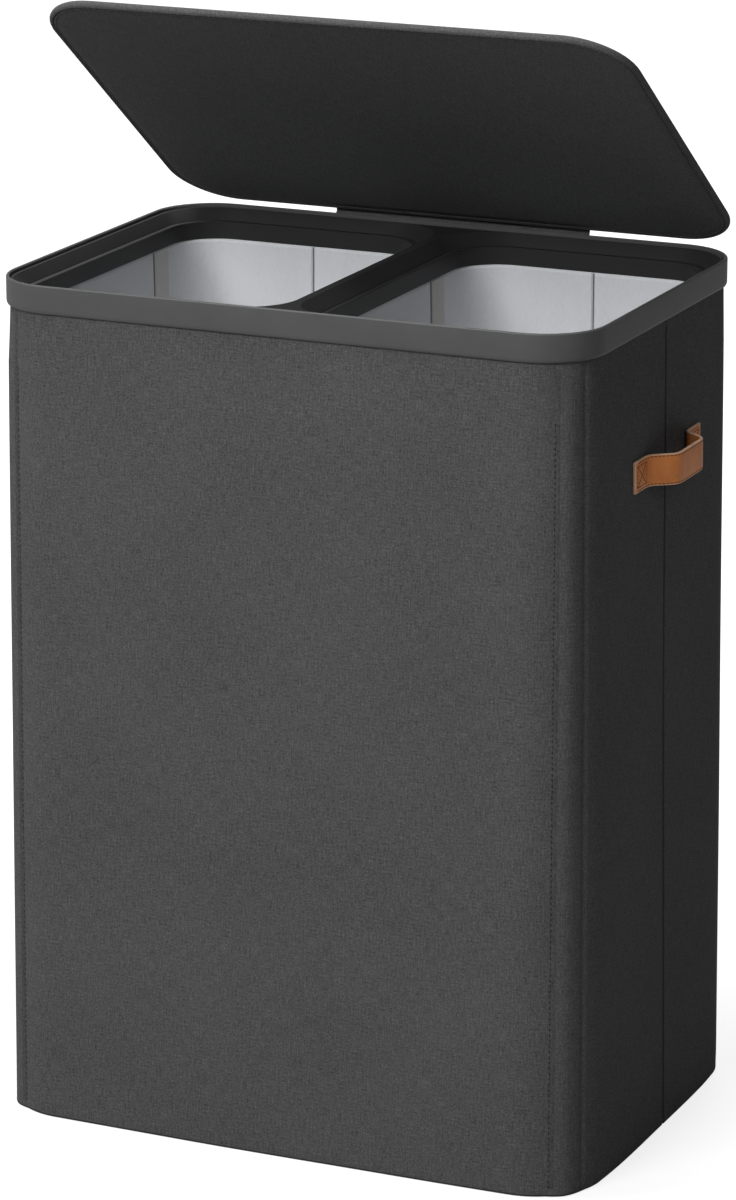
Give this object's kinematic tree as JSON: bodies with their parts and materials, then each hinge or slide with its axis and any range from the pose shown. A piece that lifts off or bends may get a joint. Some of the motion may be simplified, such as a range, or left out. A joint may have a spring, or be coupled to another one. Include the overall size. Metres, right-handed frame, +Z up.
{
  "type": "laundry hamper",
  "caption": "Tall rectangular fabric laundry hamper with side-by-side lift-out liner bags, a moulded rim, a hinged flat lid and leather carrying straps.",
  "frame": {"origin": "centre of the rectangular foot print, on the floor", "axes": "+Z up, +X to the right when facing the front, -Y out of the front, away from the hinge"},
  "size_m": [0.607, 0.411, 1.0019],
  "materials": {
    "rim_plastic": "satin charcoal moulded plastic",
    "tray_plastic": "satin dark grey moulded plastic",
    "sleeve_fabric": "heathered charcoal linen-look cloth",
    "lid_fabric": "dark charcoal cloth",
    "lining_fabric": "light grey nonwoven lining",
    "board": "raw fibreboard",
    "leather": "smooth tan leather"
  },
  "bodies": {
    "hamper": {"rim_frame": "rim_plastic", "bag_tray": "tray_plastic", "bag_ring_left": "tray_plastic", "bag_ring_right": "tray_plastic", "liner_bag_left": "lining_fabric", "liner_bag_right": "lining_fabric", "fabric_sleeve": "sleeve_fabric", "front_board": "board", "back_board": "board", "side_board_right_front": "board", "side_board_right_rear": "board", "side_board_left_rear": "board", "side_board_left_front": "board", "base_board": "board", "handle_left": "leather", "handle_right": "leather", "hinge_strap_lower": "lid_fabric", "hinge_rivet_1": "rim_plastic", "hinge_rivet_2": "rim_plastic", "hinge_rivet_3": "rim_plastic", "hinge_rivet_4": "rim_plastic"},
    "lid": {"lid_board": "board", "lid_cover_bottom": "lid_fabric", "lid_cover_top": "lid_fabric", "lid_binding": "lid_fabric", "hinge_strap_upper": "lid_fabric"}
  },
  "joints": [
    {"name": "lid_hinge", "type": "hinge", "parent": "hamper", "child": "lid", "pos_m": [0, 0.2005, 0.7545], "axis": [-1, 0, 0], "range_deg": [-36.1, 143.9]}
  ]
}
